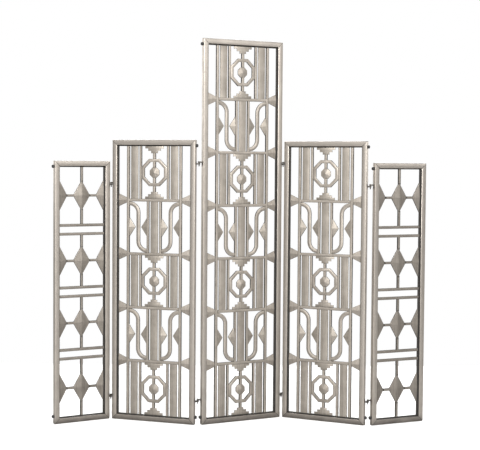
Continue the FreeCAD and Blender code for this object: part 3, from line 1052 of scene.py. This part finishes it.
bumper_rubber = moulded_rubber()
bumper_model = bumper()
screw_model = screw()
for panel_name, panel in panels.items():
    buffers = []
    screws = []
    outwards = lying_right if panel["near_side"] > 0 else lying_left
    side_x = panel["near_side"] * panel["width"] / 2
    for height in (bumper_above_floor, panel["height"] - bumper_below_top):
        seat = panel["place"] @ Matrix.Translation((side_x, bumper_set_back, height)) @ outwards
        buffers.append(placed_copy(bumper_model, "buffer", seat))
        recess_floor = Matrix.Translation((0, 0, bumper_height - recess_depth))
        screws.append(placed_copy(screw_model, "screw", seat @ recess_floor))
    node = f"{panel_name}_bumpers"
    rubber = joined(f"{node}_moulded", buffers)
    rubber.data.materials.append(bumper_rubber)
    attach(rubber, f"{panel_name}_panel")
    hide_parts(node)
    heads = joined(f"{panel_name}_bumper_screws", screws)
    heads.data.materials.append(hinge_iron)
    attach(heads, f"{panel_name}_panel")
for model in (bumper_model, screw_model):
    bpy.data.objects.remove(model)


# The studio: a plain pale floor in a white surround, with a large soft light high in front, another high
# behind, and weak ones at the right front and at both back corners. What the metal reflects of the
# surround is a little brighter low down.
floor_size = 6
floor_y = -1.2
floor_drop = 0.0005
floor_roughness = 0.9
floor_reflected = (0.40, 0.40, 0.40)
floor_seen = (0.80, 0.80, 0.80)
bpy.ops.object.select_all(action="DESELECT")
bpy.ops.mesh.primitive_plane_add(size=floor_size, location=(0, floor_y, -floor_drop))
floor = bpy.context.object
floor.name = "floor"
bpy.ops.object.transform_apply(location=True, rotation=True, scale=True)
floor_paint = bpy.data.materials.new("pale floor")
floor_paint.use_nodes = True
paint = floor_paint.node_tree
floor_shader = paint.nodes["Principled BSDF"]
floor_shader.inputs["Roughness"].default_value = floor_roughness
floor_ray = paint.nodes.new("ShaderNodeLightPath")
floor_tone = mixed(paint, floor_ray.outputs["Is Camera Ray"], floor_reflected, floor_seen)
paint.links.new(floor_tone, floor_shader.inputs["Base Color"])
floor.data.materials.append(floor_paint)

soft_lights = {
    "front_high": {"place": (0.0, -6.5, 4.2), "aim": (0, 0, 1.0), "size": (4.0, 2.0), "watts": 1080},
    "right_front": {"place": (3.4, -2.4, 2.7), "aim": (0, 0, 1.8), "size": (2.0, 1.8), "watts": 24},
    "right_back": {"place": (3.6, 2.4, 2.4), "aim": (0, 0, 1.2), "size": (2.0, 2.6), "watts": 40},
    "left_back": {"place": (-3.6, 2.4, 2.4), "aim": (0, 0, 1.2), "size": (2.0, 2.6), "watts": 40},
    "back_high": {"place": (0.0, 5.0, 4.6), "aim": (0, 0, 1.0), "size": (4.0, 2.0), "watts": 400},
}
for name, light in soft_lights.items():
    bpy.ops.object.light_add(type="AREA", location=light["place"])
    lamp = bpy.context.object
    lamp.name = name
    lamp.data.shape = "RECTANGLE"
    lamp.data.size = light["size"][0]
    lamp.data.size_y = light["size"][1]
    lamp.data.energy = light["watts"]
    towards = Vector(light["aim"]) - Vector(light["place"])
    lamp.rotation_euler = towards.to_track_quat("-Z", "Y").to_euler()

# how far a ray points up where the surround has its low strength, and where it has its high one
low_heading = -0.2
high_heading = 0.8
surround_low = 0.70
surround_high = 0.54
world = bpy.data.worlds.new("studio surround")
bpy.context.scene.world = world
world.use_nodes = True
air = world.node_tree
seen = air.nodes["Background"]
seen.inputs["Color"].default_value = (1, 1, 1, 1)
seen.inputs["Strength"].default_value = 1.0
reflected = air.nodes.new("ShaderNodeBackground")
heading = air.nodes.new("ShaderNodeTexCoord")
split = air.nodes.new("ShaderNodeSeparateXYZ")
air.links.new(heading.outputs["Generated"], split.inputs["Vector"])
strength = ranged(air, split.outputs["Z"], (low_heading, high_heading), (surround_low, surround_high))
air.links.new(strength, reflected.inputs["Strength"])
which_ray = air.nodes.new("ShaderNodeLightPath")
blend = air.nodes.new("ShaderNodeMixShader")
air.links.new(which_ray.outputs["Is Camera Ray"], blend.inputs["Fac"])
air.links.new(reflected.outputs["Background"], blend.inputs[1])
air.links.new(seen.outputs["Background"], blend.inputs[2])
air.links.new(blend.outputs["Shader"], air.nodes["World Output"].inputs["Surface"])
bpy.context.scene.view_settings.view_transform = "Standard"


# The camera: a long lens about six and a half metres in front of the screen and a little above its middle,
# looking slightly down and to the right.
camera_place = Matrix.Translation((-0.0649, -6.4597, 1.3075))
camera_pan = -0.4933
camera_tilt = 2.730
camera_roll = 0.4218
camera_lens = 95.67
camera_sensor = 36
pan = Matrix.Rotation(math.radians(camera_pan), 4, "Z")
tilt = Matrix.Rotation(quarter_turn - math.radians(camera_tilt), 4, "X")
roll = Matrix.Rotation(math.radians(camera_roll), 4, "Z")
bpy.ops.object.camera_add()
camera = bpy.context.object
camera.data.lens = camera_lens
camera.data.sensor_width = camera_sensor
camera.data.sensor_fit = "HORIZONTAL"
camera.matrix_world = camera_place @ pan @ tilt @ roll
bpy.context.scene.camera = camera
